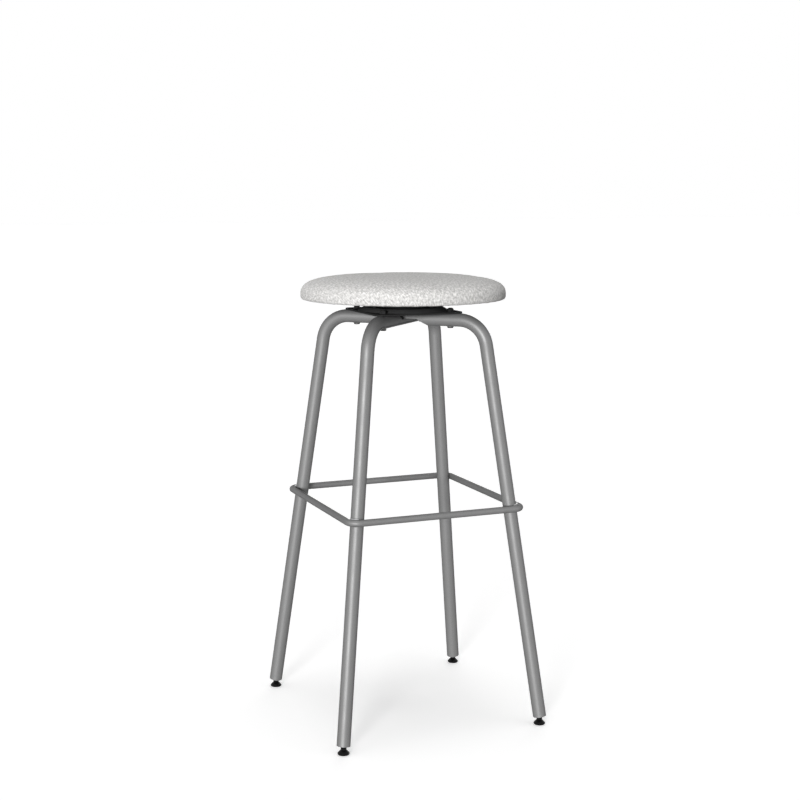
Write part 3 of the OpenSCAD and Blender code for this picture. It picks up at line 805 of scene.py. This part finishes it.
fabric, tree, shader = finish("seat_fabric", (0.55, 0.542, 0.532), 0.9, gloss=0.05)
shader.inputs["Sheen Weight"].default_value = 0.15
shader.inputs["Sheen Roughness"].default_value = 0.6
crossings = on_cloth(tree, YARN)
over = node(tree, "ShaderNodeTexChecker", Scale=1.0)
join(tree, crossings, over.inputs["Vector"])
weave = mixed(tree, over.outputs["Fac"], threads(tree, crossings, "X"),
              threads(tree, crossings, "Y"))
fluff = noise(tree, on_cloth(tree, FLUFF_W), detail=3.0, rough=0.6)
thread_bump = relief(tree, shader, weave, YARN_H)
relief(tree, shader, fluff, FLUFF_H, below=thread_bump)
cover.data.materials.append(fabric)
print("threads", YARN / MM, "mm apart")

# %% Flecks of the cover
STREAK_L = 7 * MM
STREAK_W = 2.5 * MM
BLOTCH_W = 4.5 * MM

streaks = noise(tree, on_cloth(tree, (STREAK_W, STREAK_L, 1.0)), detail=1.0)
cross_streaks = noise(tree, on_cloth(tree, (STREAK_L, STREAK_W, 1.0)), detail=1.0)
blotches = noise(tree, on_cloth(tree, BLOTCH_W), detail=2.0)
heather = 0.0
for part, share in ((streaks, 0.5), (cross_streaks, 0.25), (blotches, 0.25)):
    heather = maths(tree, "ADD", heather, maths(tree, "MULTIPLY", part, share))
join(tree, colours(tree, heather, (0.36, (0.35, 0.345, 0.337)), (0.46, (0.49, 0.483, 0.473)),
                   (0.53, (0.59, 0.582, 0.571)), (0.62, (0.735, 0.725, 0.713))),
     shader.inputs["Base Color"])
print(fabric.name, "streaks", STREAK_L / MM, "by", STREAK_W / MM, "mm")

# %% [markdown]
# ## Foam pad
# Under the cover lies moulded foam that wraps the edge of the board. It is hidden until
# the cover is taken off, so it is a plain closed shape: the same section drawn in, closed
# below by a pocket that the board fills. A closed line turned once about Z makes it.

# %% Foam
FOAM_INSET = 2.4 * MM
FOAM_GAP = 0.3 * MM
FOAM_SPOKES = 120

board_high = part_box("seat_board")[1]
pocket_r = board_high.x + FOAM_GAP
pocket_z = board_high.z + FOAM_GAP


def turned_solid(r, z, spokes):
    """A line of (r, z) turned about Z: each point goes to (r cos t, r sin t, z) for t all round.
    Both its ends lie on the axis, as one point each."""
    turn = np.linspace(0, 2 * np.pi, spokes, endpoint=False)
    body = np.stack([np.outer(r[1:-1], np.cos(turn)), np.outer(r[1:-1], np.sin(turn)),
                     np.outer(z[1:-1], np.ones(spokes))], -1).reshape(-1, 3)
    ends = np.array([[0, 0, z[0]], [0, 0, z[-1]]])
    sides = grid_faces(len(r) - 2, spokes, closed=True)
    first = len(body)
    around = np.arange(spokes)
    after = (around + 1) % spokes
    last_row = first - spokes
    top = np.stack([np.full(spokes, first), after, around], -1)
    bottom = np.stack([np.full(spokes, first + 1), last_row + around, last_row + after], -1)
    faces = sides.tolist() + top.tolist() + bottom.tolist()
    return np.concatenate([body, ends]), faces


foam_r, foam_z = half_section(FOAM_INSET, pocket_r, crown_steps=40, edge_steps=8, hem_steps=3)
foam_r = np.append(foam_r, [pocket_r, 0.0])
foam_z = np.append(foam_z, [pocket_z, pocket_z])
pad = make_piece("foam_pad", *turned_solid(foam_r, foam_z, FOAM_SPOKES))
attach(pad, "seat")
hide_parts("seat_foam")
print("foam faces", len(pad.data.polygons))

# %% Foam finish
CELL = 1.4 * MM
CELL_H = 0.3 * MM

foam, tree, shader = finish("foam", (0.80, 0.72, 0.50), 0.95, gloss=0.1)
cells = node(tree, "ShaderNodeTexVoronoi", Scale=1.0)
join(tree, places(tree, CELL), cells.inputs["Vector"])
join(tree, colours(tree, cells.outputs["Distance"], (0.1, (0.66, 0.57, 0.36)),
                   (0.5, (0.84, 0.77, 0.56))), shader.inputs["Base Color"])
relief(tree, shader, cells.outputs["Distance"], CELL_H)
pad.data.materials.append(foam)
print(foam.name, "cells", CELL / MM, "mm wide")

# %% [markdown]
# ## Dust cover and its staples
# The underside is closed by a disc of black non-woven cloth. It lies flat on the board,
# steps down over the cover's hem and is stapled near its edge, where it puckers a
# little between the staples. The disc is the same kind of round grid, and its height
# follows the board, the step and the hem in turn. Each staple is a short bent wire with
# square sides, made once as a profile along a path and repeated around the edge, a
# little unevenly: sines of its number stand for chance, so each run gives the same.

# %% Dust cover
DUST_POINTS = 121
DUST_T = 0.6 * MM
STEP_START = 152 * MM
STEP_END = 167 * MM
STAPLES = 32
PUCKER_H = 0.35 * MM
PUCKER_CHANGE = 0.25

dust_low, dust_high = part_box("dust_cover")
DUST_R = dust_high.x


def dust_height(r, angle):
    """Height of the cloth: the board's, less a step whose share is 3 f² - 2 f³, less a pucker
    that is deepest half way between two staples, grows outwards and changes around the rim."""
    fall = np.clip((r - STEP_START) / (STEP_END - STEP_START), 0, 1)
    step = (dust_high.z - DUST_T - dust_low.z) * fall * fall * (3 - 2 * fall)
    outwards = np.clip((r - STEP_END) / (DUST_R - STEP_END), 0, 1)
    between_staples = 0.5 - 0.5 * np.cos(STAPLES * angle)
    change = 1 - PUCKER_CHANGE + PUCKER_CHANGE * np.cos(5 * angle + 1)
    return dust_high.z - step - PUCKER_H * outwards * between_staples * change


dust_rho, dust_x, dust_y = round_grid(DUST_POINTS)
dust_r = dust_rho * DUST_R
dust_z = dust_height(dust_r, np.arctan2(dust_y, dust_x))
dust_points = np.stack([dust_r * dust_x, dust_r * dust_y, dust_z], -1)
print("dust cover puckers up to", PUCKER_H / MM, "mm")

# %% Dust cover piece
dust = make_piece("dust_cloth", dust_points, grid_faces(DUST_POINTS, DUST_POINTS))
sheet_wall = dust.modifiers.new("cloth_thickness", "SOLIDIFY")
sheet_wall.thickness = DUST_T
sheet_wall.offset = -1.0
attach(dust, "seat")
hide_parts("dust_cover")
print("dust cover radius", round(DUST_R, 4), "m")

# %% Dust cloth finish
FIBRE_SIZE = (0.5 * MM, 3 * MM, 1.0)
FIBRE_H = 0.06 * MM
DIMPLE_W = 1.6 * MM
DIMPLE_H = 0.12 * MM

fleece, tree, shader = finish("dust_cloth", grey(0.012), 0.92, gloss=0.15)
fibres = noise(tree, places(tree, FIBRE_SIZE), detail=4.0, rough=0.6)
dimples = node(tree, "ShaderNodeTexVoronoi", Scale=1.0)
join(tree, places(tree, DIMPLE_W), dimples.inputs["Vector"])
join(tree, colours(tree, fibres, (0.35, grey(0.008)), (0.65, grey(0.022))),
     shader.inputs["Base Color"])
fibre_bump = relief(tree, shader, fibres, FIBRE_H)
relief(tree, shader, dimples.outputs["Distance"], DIMPLE_H, below=fibre_bump)
dust.data.materials.append(fleece)
print(fleece.name, "on the dust cover")

# %% One staple
WIRE = 0.7 * MM
CROWN = 10 * MM
LEG_IN = 2.5 * MM
BEND = 0.5 * MM

wire_path = np.array([
    [-CROWN / 2, 0, LEG_IN], [-CROWN / 2, 0, BEND], [-CROWN / 2 + BEND, 0, 0],
    [CROWN / 2 - BEND, 0, 0], [CROWN / 2, 0, BEND], [CROWN / 2, 0, LEG_IN],
])
steps = np.gradient(wire_path, axis=0)
steps /= np.linalg.norm(steps, axis=1, keepdims=True)
side = np.array([0.0, 1.0, 0.0])
lift = np.cross(steps, side)
staple = np.stack([wire_path + WIRE / 2 * (a * side + b * lift) for a, b in SQUARE], 1)
staple = staple.reshape(-1, 3)
last = 4 * (len(wire_path) - 1)
ends = [(3, 2, 1, 0), (last, last + 1, last + 2, last + 3)]
staple_faces = np.concatenate([grid_faces(len(wire_path), 4, closed=True), ends])
print("staple", CROWN / MM, "mm wide, with", len(staple_faces), "faces")

# %% Staples around the edge
STAPLE_R = 174 * MM
UNEVEN_PLACE = 0.03
UNEVEN_TURN = 0.12


def turned_about_z(points, turn):
    """Points turned about Z: (x, y) goes to (x cos t - y sin t, x sin t + y cos t)."""
    cosine = math.cos(turn)
    sine = math.sin(turn)
    return points @ np.array([[cosine, sine, 0], [-sine, cosine, 0], [0, 0, 1]])


all_points = []
all_faces = []
for number in range(STAPLES):
    place = 2 * math.pi * number / STAPLES + UNEVEN_PLACE * math.sin(7 * number)
    turn = place + math.pi / 2 + UNEVEN_TURN * math.sin(3.7 * number)
    spot = (STAPLE_R * math.cos(place), STAPLE_R * math.sin(place), dust_low.z - WIRE / 2)
    all_points.append(turned_about_z(staple, turn) + spot)
    all_faces.append(staple_faces + len(staple) * number)
staples = make_piece("dust_staples", np.concatenate(all_points), np.concatenate(all_faces),
                     smooth=False)
staples.data.materials.append(bright)
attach(staples, "seat")
print("staples", STAPLES)
